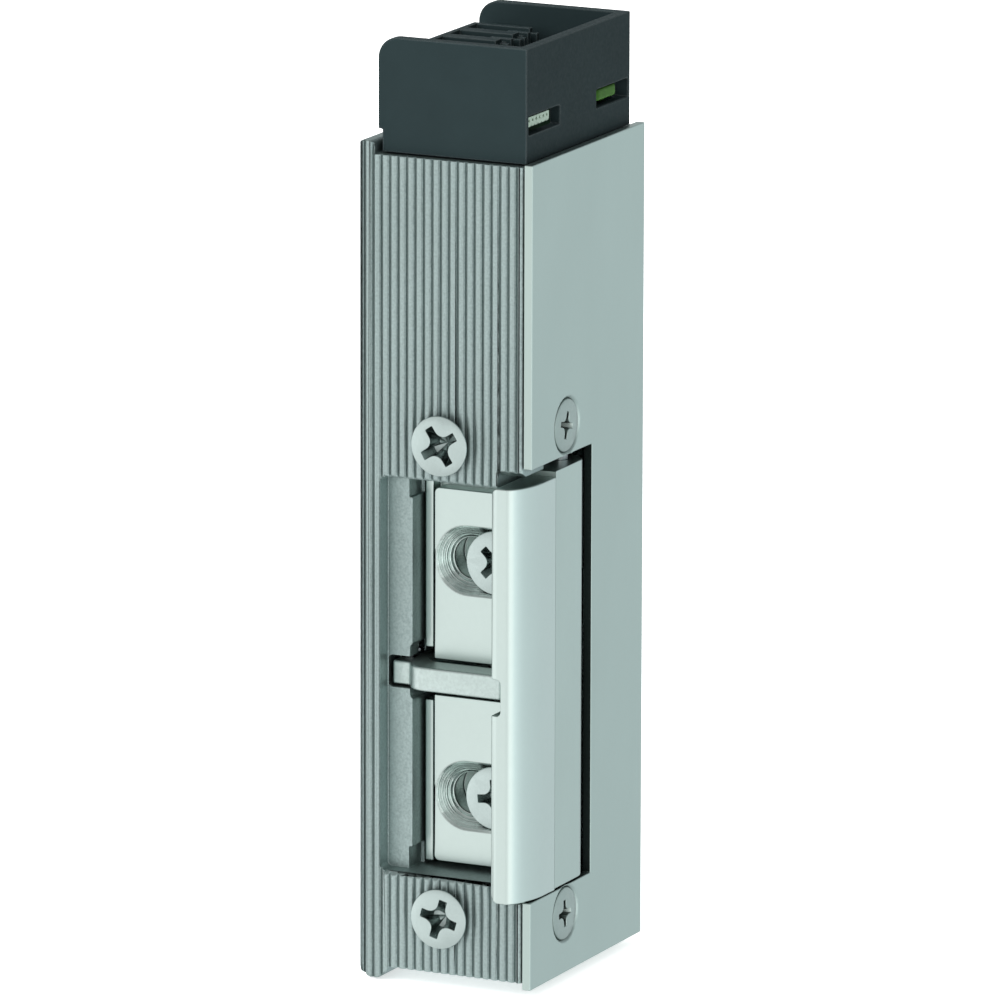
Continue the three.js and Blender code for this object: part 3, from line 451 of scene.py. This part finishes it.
# What the keeper's faces have in common.
KEEPER_FINISH = {
    "roughness": 0.3, "grain_mm": 0.6, "relief_mm": 0.001, "mottle": 0.015, "edge": 0, "speckle": 0.03,
    "reach": 1.0,
}
FINISHES = {
    "case_casting": metal(
        "case_casting", (0.392, 0.485, 0.475), 0.5, 0.26, 0.03, 0.05, 0.35, painted_shade=0.5, reach=1.1
    ),
    "cover_sheet": metal(
        "cover_sheet", (0.43, 0.524, 0.495), 0.38, 0.5, 0.001, 0.015, 0.5, speckle=0.02, painted_shade=0.9, reach=1.0
    ),
    "keeper_metal": metal("keeper_metal", (0.512, 0.602, 0.575), painted_shade=0.3, **KEEPER_FINISH),
    "lever_cast": metal(
        "lever_cast", (0.55, 0.65, 0.625), 0.42, 0.3, 0.03, 0.08, 0.5, speckle=0.25, painted_shade=0.4, reach=1.2
    ),
    "screw_steel": metal(
        "screw_steel", (0.43, 0.51, 0.495), 0.25, 0.3, 0.002, 0.04, 0.6, edge=0.05, speckle=0.08, painted_shade=0.8,
        reach=1.3,
    ),
    "pin_steel": metal("pin_steel", (0.33, 0.35, 0.36), 0.25, 0.3, 0.003),
    "spring_steel": metal("spring_steel", (0.45, 0.48, 0.5), 0.25, 0.2, 0.003, edge=0.03),
    "magnet_iron": metal("magnet_iron", (0.24, 0.26, 0.26), 0.45, 0.4, 0.012),
    "black_plastic": plastic("black_plastic", (0.0172, 0.028, 0.03), 0.5, relief_mm=0.006, mottle=0.05),
    "white_plastic": plastic("white_plastic", (0.68, 0.64, 0.55), 0.5),
    "copper_wire": stripes("copper_wire", (0.62, 0.2, 0.07), 0.32, 0.3, 0.06),
    "clamp_brass": metal("clamp_brass", (0.56, 0.39, 0.13), 0.35, 0.25, 0.01),
    "tinned_metal": metal("tinned_metal", (0.42, 0.52, 0.42), 0.35, 0.3, 0.05, 0.25),
    "board_green": plastic("board_green", (0.006, 0.022, 0.01), 0.45),
    "varistor_green": plastic(
        "varistor_green", (0.03, 0.085, 0.014), 0.18, grain_mm=1.3, relief_mm=0.05, mottle=0.5
    ),
}

SLOTS = {part["node"]: part["material_slot"] for part in frame["record"]["subparts"]}
BODIES = {
    node: body
    for body, nodes in frame["record"]["behaviour"]["bodies"].items()
    for node in nodes
}

# Shapes ---------------------------------------------------------------------------------------

def evaluated(mesh, kind, **settings):
    """The mesh as one modifier leaves it."""
    holder = bpy.data.objects.new("holder", mesh)
    scene.collection.objects.link(holder)
    modifier = holder.modifiers.new(kind, kind)
    for key, value in settings.items():
        setattr(modifier, key, value)
    result = bpy.data.meshes.new_from_object(holder.evaluated_get(bpy.context.evaluated_depsgraph_get()))
    bpy.data.objects.remove(holder)
    return result


def combined(base, tool, operation):
    """The base cut by, joined to or kept inside the tool."""
    holder = bpy.data.objects.new("tool", tool)
    scene.collection.objects.link(holder)
    result = evaluated(base, "BOOLEAN", object=holder, operation=operation, solver="EXACT")
    bpy.data.objects.remove(holder)
    return result


def cut(base, *tools):
    for tool in tools:
        base = combined(base, tool, "DIFFERENCE")
    return base


def join(base, *others):
    for other in others:
        base = combined(base, other, "UNION")
    return base


def rounded(mesh, width, segments=2, angle=28, share=None):
    """Rounds the edges that turn by more than an angle, each by a share of the width.

    The share is a function of the edge's two ends, and every edge gets the whole width without one.
    """
    bm = bmesh.new()
    bm.from_mesh(mesh)
    weights = bm.edges.layers.float.new("bevel_weight_edge")
    for edge in bm.edges:
        if len(edge.link_faces) == 2 and edge.calc_face_angle(0) > math.radians(angle):
            edge[weights] = 1.0 if share is None else share(*[v.co for v in edge.verts])
    bm.to_mesh(mesh)
    bm.free()
    return evaluated(
        mesh, "BEVEL", width=width, segments=segments, limit_method="WEIGHT",
        use_clamp_overlap=False, miter_outer="MITER_ARC", profile=0.5,
    )


def mesh_of(bm):
    bmesh.ops.recalc_face_normals(bm, faces=bm.faces)
    mesh = bpy.data.meshes.new("shape")
    bm.to_mesh(mesh)
    bm.free()
    return mesh


AXES = {
    "x": Matrix(((0, 0, 1), (1, 0, 0), (0, 1, 0))),
    "y": Matrix(((1, 0, 0), (0, 0, 1), (0, 1, 0))),
    "z": Matrix.Identity(3),
}


def loft(rings):
    """A solid through rings of points, each ring with as many points, and with flat ends."""
    bm = bmesh.new()
    loops = [[bm.verts.new(point) for point in ring] for ring in rings]
    count = len(loops[0])
    for a, b in zip(loops, loops[1:]):
        for i in range(count):
            bm.faces.new((a[i], a[(i + 1) % count], b[(i + 1) % count], b[i]))
    bm.faces.new(loops[0])
    bm.faces.new(loops[-1])
    return mesh_of(bm)


def prism(axis, outline, start, end):
    """An outline given in the two coordinates across an axis, swept along that axis."""
    turn = AXES[axis]
    return loft([[turn @ Vector((u, v, w)) for u, v in outline] for w in (start, end)])


def box(x0, x1, y0, y1, z0, z1):
    return prism("z", [(x0, y0), (x1, y0), (x1, y1), (x0, y1)], z0, z1)


def arc(cx, cy, radius, start, end, steps):
    """Points of an arc, with angles in degrees."""
    return [
        (cx + radius * math.cos(math.radians(start + (end - start) * i / steps)),
         cy + radius * math.sin(math.radians(start + (end - start) * i / steps)))
        for i in range(steps + 1)
    ]


def rounded_rectangle(x0, x1, y0, y1, radius, steps=8):
    return (
        arc(x1 - radius, y1 - radius, radius, 0, 90, steps)
        + arc(x0 + radius, y1 - radius, radius, 90, 180, steps)
        + arc(x0 + radius, y0 + radius, radius, 180, 270, steps)
        + arc(x1 - radius, y0 + radius, radius, 270, 360, steps)
    )


def bezier(points, steps):
    """Points of a Bezier curve after its first one."""
    made = []
    for i in range(1, steps + 1):
        level = [Vector(p) for p in points]
        while len(level) > 1:
            level = [a.lerp(b, i / steps) for a, b in zip(level, level[1:])]
        made.append(tuple(level[0]))
    return made


SAME_POINT_MM = 0.002
FLAT_ANGLE = math.radians(0.6)


def from_cad(node):
    """A CAD node's shape in case millimetres, with its flat faces whole again."""
    bm = bmesh.new()
    bm.from_mesh(frame["nodes"][node].data)
    bm.transform(TO_CASE)
    bmesh.ops.remove_doubles(bm, verts=bm.verts, dist=SAME_POINT_MM)
    bmesh.ops.dissolve_limit(
        bm, angle_limit=FLAT_ANGLE, verts=bm.verts, edges=bm.edges, use_dissolve_boundaries=False
    )
    return mesh_of(bm)


def box_of(nodes):
    """The low and high corners of some CAD nodes together, in metres."""
    corners = [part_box(node) for node in nodes]
    low = [min(c[0][k] for c in corners) for k in range(3)]
    return low, [max(c[1][k] for c in corners) for k in range(3)]


CREASE = math.radians(32)  # edges that turn by more stay sharp


def show(name, mesh, *nodes, room=None, finish=None, second=None, is_second=None):
    """Puts a shape in case millimetres into the scene, in place of CAD nodes of one body.

    The shape stays inside the CAD nodes' box, or inside the room if one is given. Faces that
    is_second picks by their centre, in millimetres, and their normal have the second material.
    """
    bm = bmesh.new()
    bm.from_mesh(mesh)
    bm.transform(TO_METRES)
    for face in bm.faces:
        face.smooth = True
    for edge in bm.edges:
        edge.smooth = len(edge.link_faces) == 2 and edge.calc_face_angle(0) < CREASE
    if second is not None:
        for face in bm.faces:
            centre = TO_CASE @ face.calc_center_median()
            face.material_index = 1 if is_second(centre, face.normal) else 0
    low, high = room or box_of(nodes)
    for vertex in bm.verts:
        vertex.co = [min(max(c, a), b) for c, a, b in zip(vertex.co, low, high)]
    made = bpy.data.meshes.new(name)
    bm.to_mesh(made)
    bm.free()
    made.materials.append(finish or FINISHES[SLOTS[nodes[0]]])
    if second is not None:
        made.materials.append(second)
    made = evaluated(made, "WEIGHTED_NORMAL", keep_sharp=True, mode="FACE_AREA_WITH_ANGLE")
    made.name = name
    piece = bpy.data.objects.new(name, made)
    scene.collection.objects.link(piece)
    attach(piece, BODIES[nodes[0]])
    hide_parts(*nodes)


# Screws ---------------------------------------------------------------------------------------

RECESS_STEPS = 6
ARM_BEND = 0.12  # rounding at the end of a recess's arm, as a share of the arm's half width
RIM_TURN = 0.3  # where the rim's rounding turns, as a share of the rim
THREAD = {"pitch": 0.6, "root": 0.84, "end": 0.6, "neck": 0.4}  # root and end as shares of the shank
RECESS_TIP = 1.3  # depth of the point under a recess, as a share of the recess's depth

# A recess's mouth: how much longer and wider its arms are there, and how deep that reaches.
RECESS_MOUTH = {"reach": 0.05, "half": 0.04, "depth": 0.05}

# Levels of a recess: depth as a share of the whole, then how far the arms draw in for each
# millimetre of the whole depth, then the arm's width and the inner corner's radius as shares.
RECESS_LEVELS = [(0.5, 0.22, 0.9, 0.72), (1.0, 0.48, 0.78, 0.42)]


def cross(reach, half, fillet, turn, z):
    """The outline of a cross recess, whose inner corners are rounded."""
    bend = ARM_BEND * half
    points = []
    for quarter in range(4):
        arm = [(reach - bend, -half), (reach, bend - half), (reach, half - bend), (reach - bend, half)]
        arm += arc(half + fillet, half + fillet, fillet, 270, 180, RECESS_STEPS)
        spin = Matrix.Rotation(turn + quarter * TAU / 4, 2)
        points += [spin @ Vector(p) for p in arm]
    return [Vector((p.x, p.y, z)) for p in points]


def screw_mesh(head, shank, length, turn, reach, half, corner, depth, rim=0.16, sides=72):
    """A countersunk cross-recess screw, head up at the origin and threaded shank down -Z."""
    bm = bmesh.new()

    def ring(points):
        return [bm.verts.new(p) for p in points]

    def bridge(a, b):
        for i in range(len(a)):
            bm.faces.new((a[i], a[(i + 1) % len(a)], b[(i + 1) % len(b)], b[i]))

    pitch = THREAD["pitch"]
    slope = head - shank
    neck = -slope - rim - THREAD["neck"]
    turns = int((length + neck - shank) / pitch)
    profile = [
        (head - rim, 0.0), (head - RIM_TURN * rim, -RIM_TURN * rim), (head, -rim), (shank, -slope - rim),
        (shank, neck),
    ]
    for i in range(turns):
        profile += [(shank * THREAD["root"], neck - (i + 0.5) * pitch), (shank, neck - (i + 1) * pitch)]
    profile += [(shank * THREAD["end"], -length)]
    loops = [
        ring(Vector((r * math.cos(TAU * i / sides), r * math.sin(TAU * i / sides), z)) for i in range(sides))
        for r, z in profile
    ]
    for a, b in zip(loops, loops[1:]):
        bridge(a, b)
    bm.faces.new(loops[-1])

    fillet = (corner - half * math.sqrt(2)) / (math.sqrt(2) - 1)
    mouth = RECESS_MOUTH
    levels = [
        cross(reach + mouth["reach"], half + mouth["half"], fillet, turn, 0.0),
        cross(reach, half, fillet, turn, -mouth["depth"]),
    ]
    for share, draw, width, corner_share in RECESS_LEVELS:
        levels.append(cross(reach - draw * depth, half * width, fillet * corner_share, turn, -share * depth))
    recess = [ring(level) for level in levels]
    for a, b in zip(recess, recess[1:]):
        bridge(a, b)
    tip = bm.verts.new((0, 0, -depth * RECESS_TIP))
    last = recess[-1]
    for i in range(len(last)):
        bm.faces.new((last[i], last[(i + 1) % len(last)], tip))
    edges = [bm.edges.get((loop[i], loop[(i + 1) % len(loop)])) for loop in (loops[0], recess[0])
             for i in range(len(loop))]
    bmesh.ops.triangle_fill(bm, use_beauty=True, use_dissolve=False, edges=edges)
    return mesh_of(bm)


TO_FRONT = Matrix(((1, 0, 0), (0, 0, -1), (0, 1, 0))).to_4x4()  # head towards -Y
TO_RIGHT = Matrix(((0, 0, 1), (1, 0, 0), (0, 1, 0))).to_4x4()  # head towards +X


def screw(node, centre, facing, turn, finish=None, **sizes):
    """A screw in place of a CAD node, with its head's centre at a place and its recess turned."""
    mesh = screw_mesh(turn=math.radians(turn), **sizes)
    mesh.transform(Matrix.Translation(centre) @ facing)
    show(node + "_detail", mesh, node, finish=finish)


FACEPLATE = {"head": 3.3, "shank": 1.75, "length": 9.2, "half": 0.47, "corner": 1.1, "depth": 1.75}
ADJUSTING = {
    "head": 3.5, "shank": 1.9, "length": 5.48, "half": 0.43, "corner": 1.0, "depth": 1.6, "reach": 2.05,
}
COVER_SIZE = {
    "head": 2.9, "shank": 1.45, "length": 6.1, "half": 0.29, "corner": 0.68, "depth": 1.15, "rim": 0.22,
    "reach": 1.48,
}
screw("faceplate_screw_upper", (10.25, -1.2, 59.15), TO_FRONT, 33, reach=2.25, **FACEPLATE)
screw("faceplate_screw_lower", (10.25, -1.2, 7.05), TO_FRONT, -16, reach=2.15, **FACEPLATE)
screw("adjusting_screw_upper", (14.45, 4.12, 45.68), TO_FRONT, 45, **ADJUSTING)
screw("adjusting_screw_lower", (14.45, 4.12, 19.68), TO_FRONT, 5, **ADJUSTING)
DULL = metal(
    "screw_dull", (0.36, 0.435, 0.41), 0.33, 0.3, 0.003, 0.06, 0.7, edge=0.05, speckle=0.12, painted_shade=0.8
)
screw("cover_screw_upper", (20.65, 8.8, 60.54), TO_RIGHT, -13, DULL, **COVER_SIZE)
screw("cover_screw_lower", (20.65, 8.8, 6.57), TO_RIGHT, 3, DULL, **COVER_SIZE)

# Keeper ---------------------------------------------------------------------------------------

INSERT = {
    "left": 7.24, "leg_inside": 16.83, "right": 20.7, "tip": -2.0, "front": 4.0, "back": 5.96,
    "bottom": 9.8, "plate_bottom": 12.1, "plate_top": 53.4, "top": 55.4, "plate_corner": 0.6,
}
# The leg's outline from above: how far from its inside the nose is round, flat and round again,
# and how far from its tip the inside corner starts and the long ramp ends.
NOSE = {
    "corner": 0.35, "round": 0.75, "flat": 1.75, "bend": 2.5, "bend_depth": 0.5, "ramp_depth": 5.8,
}
NOSE_PULLS = {"corner": (0.02, 0.08), "bend": 2.05, "ramp": 2.08}  # control points of its curves
LEG_CORNERS = {"top": 0.8, "bottom": 0.9}
LEVER_NOTCH = {"left": 5.2, "right": 18, "bottom": 30.5, "top": 34.5, "corner": 0.5}
# The insert's edges: their rounding, and the share of it on the leg's two ends and elsewhere.
ROUNDING = {"width": 0.4, "segments": 4, "angle": 35, "on_end": 0.4, "elsewhere": 0.25}
# How far the two ends reach along the leg, and the slack in telling its edges and its flat back.
LEG_END = {"bottom": 1.8, "top": 0.9, "left": 0.1, "back": 0.06, "flat_back": 0.1}
# The faces of the slots' cones: between two depths from the plate's front, up to a place across,
# and leaning between the side and the front.
CONE = {"front": 0.02, "back": 1.55, "right": 19, "side": 0.3, "straight": 0.95}


def leg_plan():
    """The leg from above: a round nose, and a ramp that bends away to the outer side."""
    inside, tip, right, back = (INSERT[key] for key in ("leg_inside", "tip", "right", "back"))
    corner_x, corner_y = NOSE_PULLS["corner"]
    points = [(inside, back), (inside, tip + NOSE["corner"])]
    points += bezier([points[-1], (inside + corner_x, tip + corner_y), (inside + NOSE["round"], tip)], 8)
    points.append((inside + NOSE["flat"], tip))
    bend = (inside + NOSE["bend"], tip + NOSE["bend_depth"])
    points += bezier([points[-1], (inside + NOSE_PULLS["bend"], tip), bend], 8)
    points += bezier([points[-1], (right, tip + NOSE_PULLS["ramp"]), (right, tip + NOSE["ramp_depth"])], 20)
    points.append((right, back))
    return points


def lip_face():
    """The leg from the front, with round corners on its inside."""
    left, right = INSERT["leg_inside"], INSERT["right"] + 1
    bottom, top = INSERT["bottom"], INSERT["top"]
    upper, lower = LEG_CORNERS["top"], LEG_CORNERS["bottom"]
    return (
        [(right, bottom), (right, top)]
        + arc(left + upper, top - upper, upper, 90, 180, 8)
        + arc(left + lower, bottom + lower, lower, 180, 270, 12)
    )


def stadium(z, radius, steps):
    """The outline of a slot of a radius, at a height."""
    return arc(SLOT["right"], z, radius, -90, 90, steps) + arc(SLOT["left"], z, radius, 90, 270, steps)


def slot_heights():
    """The middle heights of the two slots, the upper one first."""
    return [SLOT["middle"] + side * SLOT["half_gap"] for side in (1, -1)]


def slot_tool(z):
    """What a countersunk slot takes away: a cone down to the throat, then straight through."""
    rim, throat, front = SLOT["rim"], SLOT["throat"], INSERT["front"]
    past = 0.5  # how far the cone starts before the plate
    rings = [(rim + past, front - past), (throat, front + rim - throat), (throat, INSERT["back"] + 1)]
    return loft([[AXES["y"] @ Vector((u, v, w)) for u, v in stadium(z, r, 24)] for r, w in rings])


def keeper_insert():
    """A plate with two countersunk slots, and the leg with the lip that the latch slides over."""
    size, gap = INSERT, LEVER_NOTCH
    left, right = size["left"], size["leg_inside"] + 2
    front, back = size["front"], size["back"]
    leg = combined(
        prism("z", leg_plan(), size["bottom"], size["top"]),
        prism("y", lip_face(), size["tip"] - 1, back + 1),
        "INTERSECT",
    )
    outline = rounded_rectangle(left, right, size["plate_bottom"], size["plate_top"], size["plate_corner"])
    opening = rounded_rectangle(gap["left"], gap["right"], gap["bottom"], gap["top"], gap["corner"])
    plate = prism("y", outline, front, back)
    notch = prism("y", opening, size["tip"] - 1, back + 1)
    whole = cut(join(leg, plate), notch, *[slot_tool(z) for z in slot_heights()])

    def on_cone(centre, normal):
        inside = front + CONE["front"] < centre.y < front + CONE["back"] and centre.x < CONE["right"]
        return inside and CONE["side"] < abs(normal.y) < CONE["straight"]

    def share(a, b):
        if min(a.y, b.y) > back - LEG_END["flat_back"]:
            return 0.0
        leg_left, leg_back = size["leg_inside"] - LEG_END["left"], back - LEG_END["back"]
        low, high = size["bottom"] + LEG_END["bottom"], size["top"] - LEG_END["top"]
        on_leg = min(a.x, b.x) > leg_left and max(a.y, b.y) < leg_back
        near_end = max(a.z, b.z) < low or min(a.z, b.z) > high
        return ROUNDING["on_end"] if near_end and on_leg else ROUNDING["elsewhere"]

    smooth = rounded(whole, ROUNDING["width"], ROUNDING["segments"], ROUNDING["angle"], share)
    show("keeper_insert_detail", smooth, "keeper_insert", room=cad_box,
         second=turned("keeper_turned", (0.62, 0.72, 0.69), 0.16), is_second=on_cone)


keeper_insert()

# The base's pockets, the edge it shares with the insert, and its right side, which gets a darker copy of the
# keeper's metal as painted shade.
POCKET = {"spare": 0.35, "front": 5.5, "back": 8.6}
SEAM = {"back": 6.05, "left": 16.9}
SHADED_SIDE = {"left": 19, "facing": 0.2}


def keeper_base():
    """The CAD shape with pockets behind the insert's slots, and a sharp edge along the insert."""
    radius = SLOT["throat"] + POCKET["spare"]
    pockets = [prism("y", stadium(z, radius, 16), POCKET["front"], POCKET["back"]) for z in slot_heights()]

    def share(a, b):
        on_seam = max(a.y, b.y) < SEAM["back"] and min(a.x, b.x) > SEAM["left"]
        return 0.0 if on_seam else 1.0

    # Painted shade: faces turned to +X get a darker copy of the keeper's metal.
    side = metal("keeper_shaded_side", (0.44, 0.535, 0.503), painted_shade=0.5, **KEEPER_FINISH)
    mesh = rounded(cut(from_cad("keeper_base"), *pockets), 0.14, 3, share=share)
    show("keeper_base_detail", mesh, "keeper_base", second=side,
         is_second=lambda centre, normal: centre.x > SHADED_SIDE["left"] and normal.x > SHADED_SIDE["facing"])


keeper_base()

# Terminals ------------------------------------------------------------------------------------

# The strip's rows of blind holes in its right side and of notches in its lower edge.
STRIP = {"count": 6, "first": 2.1, "pitch": 0.86, "right": 20}
HOLE = {"middle": 94.68, "half_width": 0.2, "half_height": 0.18, "left": 18.6}
NOTCH = {"start": 0.25, "end": 0.61, "bottom": 93.9, "top": 94.2, "left": 15}


def contact_strip():
    """The CAD strip with a row of small blind diamond holes and a notched lower edge."""
    middle, across, up = HOLE["middle"], HOLE["half_width"], HOLE["half_height"]
    cuts = []
    for k in range(STRIP["count"]):
        y = STRIP["first"] + STRIP["pitch"] * k
        start, end = y + NOTCH["start"], y + NOTCH["end"]
        diamond = [(y - across, middle), (y, middle + up), (y + across, middle), (y, middle - up)]
        notch = [(start, NOTCH["bottom"]), (end, NOTCH["bottom"]), ((start + end) / 2, NOTCH["top"])]
        cuts.append(prism("x", diamond, HOLE["left"], STRIP["right"]))
        cuts.append(prism("x", notch, NOTCH["left"], STRIP["right"]))
    show("contact_strip_detail", rounded(cut(from_cad("contact_strip"), *cuts), 0.06, 2), "contact_strip")


contact_strip()

POLES = {"pitch": 4.2, "first": 4.6, "step": 9.4, "top": 100.5}
# Both are beside the step between the block's two levels, and end a little under its top.
RIDGE = {"left": 7.5, "past_step": 0.6, "half": 0.3, "height": 3, "sunk": 0.2}
FINGER = {"aside": 1.55, "before_step": 0.5, "past_step": 0.9, "half": 0.25, "bottom": 94, "sunk": 0.5}


def terminal_block(node, poles):
    """The CAD block with a fine ridge in each wire way and guide fingers on the step of its top."""
    top, step = POLES["top"], POLES["step"]
    ridge_right = step + RIDGE["past_step"]
    ridge_low, ridge_high = top - RIDGE["height"], top - RIDGE["sunk"]
    finger_left, finger_right = step - FINGER["before_step"], step + FINGER["past_step"]
    finger_low, finger_high = FINGER["bottom"], top - FINGER["sunk"]
    added = []
    for pole in poles:
        y = POLES["first"] + pole * POLES["pitch"]
        front, back = y - RIDGE["half"], y + RIDGE["half"]
        added.append(box(RIDGE["left"], ridge_right, front, back, ridge_low, ridge_high))
        for side in (-1, 1):
            middle = y + side * FINGER["aside"]
            front, back = middle - FINGER["half"], middle + FINGER["half"]
            added.append(box(finger_left, finger_right, front, back, finger_low, finger_high))
    show(node + "_detail", join(from_cad(node), *added), node)


terminal_block("terminal_block_coil", range(2))
terminal_block("terminal_block_switch", range(2, 5))

# Pieces that keep their CAD shape with rounded edges ------------------------------------------

# How far each piece's edges are rounded, in millimetres, and in how many steps.
EDGES = {
    "housing": (0.12, 2),
    "latch_lever": (0.28, 4),
    "terminal_housing": (0.14, 2),
    "varistor": (0.3, 4),
    "circuit_board": (0.06, 1),
    "switch_body": (0.12, 2),
    "locking_lever": (0.15, 2),
    "armature": (0.12, 2),
    "coil_yoke": (0.12, 2),
    "coil_bobbin": (0.1, 2),
}
for node, (width, segments) in EDGES.items():
    show(node + "_detail", rounded(from_cad(node), width, segments), node)

WINDOW_BACK = 14.9  # the window's rear edge lies just behind this
# Painted shadow: the window's rear edge face gets a near-black copy of the cover's metal, where the keeper
# shades it.
window_edge_shadow = metal("cover_window_shadow", (0.03, 0.04, 0.038), 0.6, 0.3, 0.003, edge=0)
show("cover_plate_detail", rounded(from_cad("cover_plate"), 0.12, 3), "cover_plate", second=window_edge_shadow,
     is_second=lambda centre, normal: centre.y > WINDOW_BACK and normal.y < -0.9)

for node, piece in frame["nodes"].items():
    for material_slot in piece.material_slots:
        material_slot.material = FINISHES[SLOTS[node]]

# Floor ----------------------------------------------------------------------------------------

FLOOR = {"half": 12, "drop": 0.0002, "stain_mm": 40, "stain": 0.005, "glow": 0.5}
half, floor_z = FLOOR["half"], cad_box[0][2] - FLOOR["drop"]
floor_corners = [(-half, -half), (half, -half), (half, half), (-half, half)]
floor_mesh = bpy.data.meshes.new("floor")
floor_mesh.from_pydata([(x, y, floor_z) for x, y in floor_corners], [], [(0, 1, 2, 3)])
floor = bpy.data.objects.new("floor", floor_mesh)
scene.collection.objects.link(floor)
floor.visible_glossy = False
paper = Surface(
    "paper", (0.95, 0.955, 0.955), 0.8, Emission_Color=(1, 1, 1, 1), Emission_Strength=FLOOR["glow"]
)
floor_mesh.materials.append(paper.finish(paper.mottle(paper.noise(FLOOR["stain_mm"]), FLOOR["stain"])))
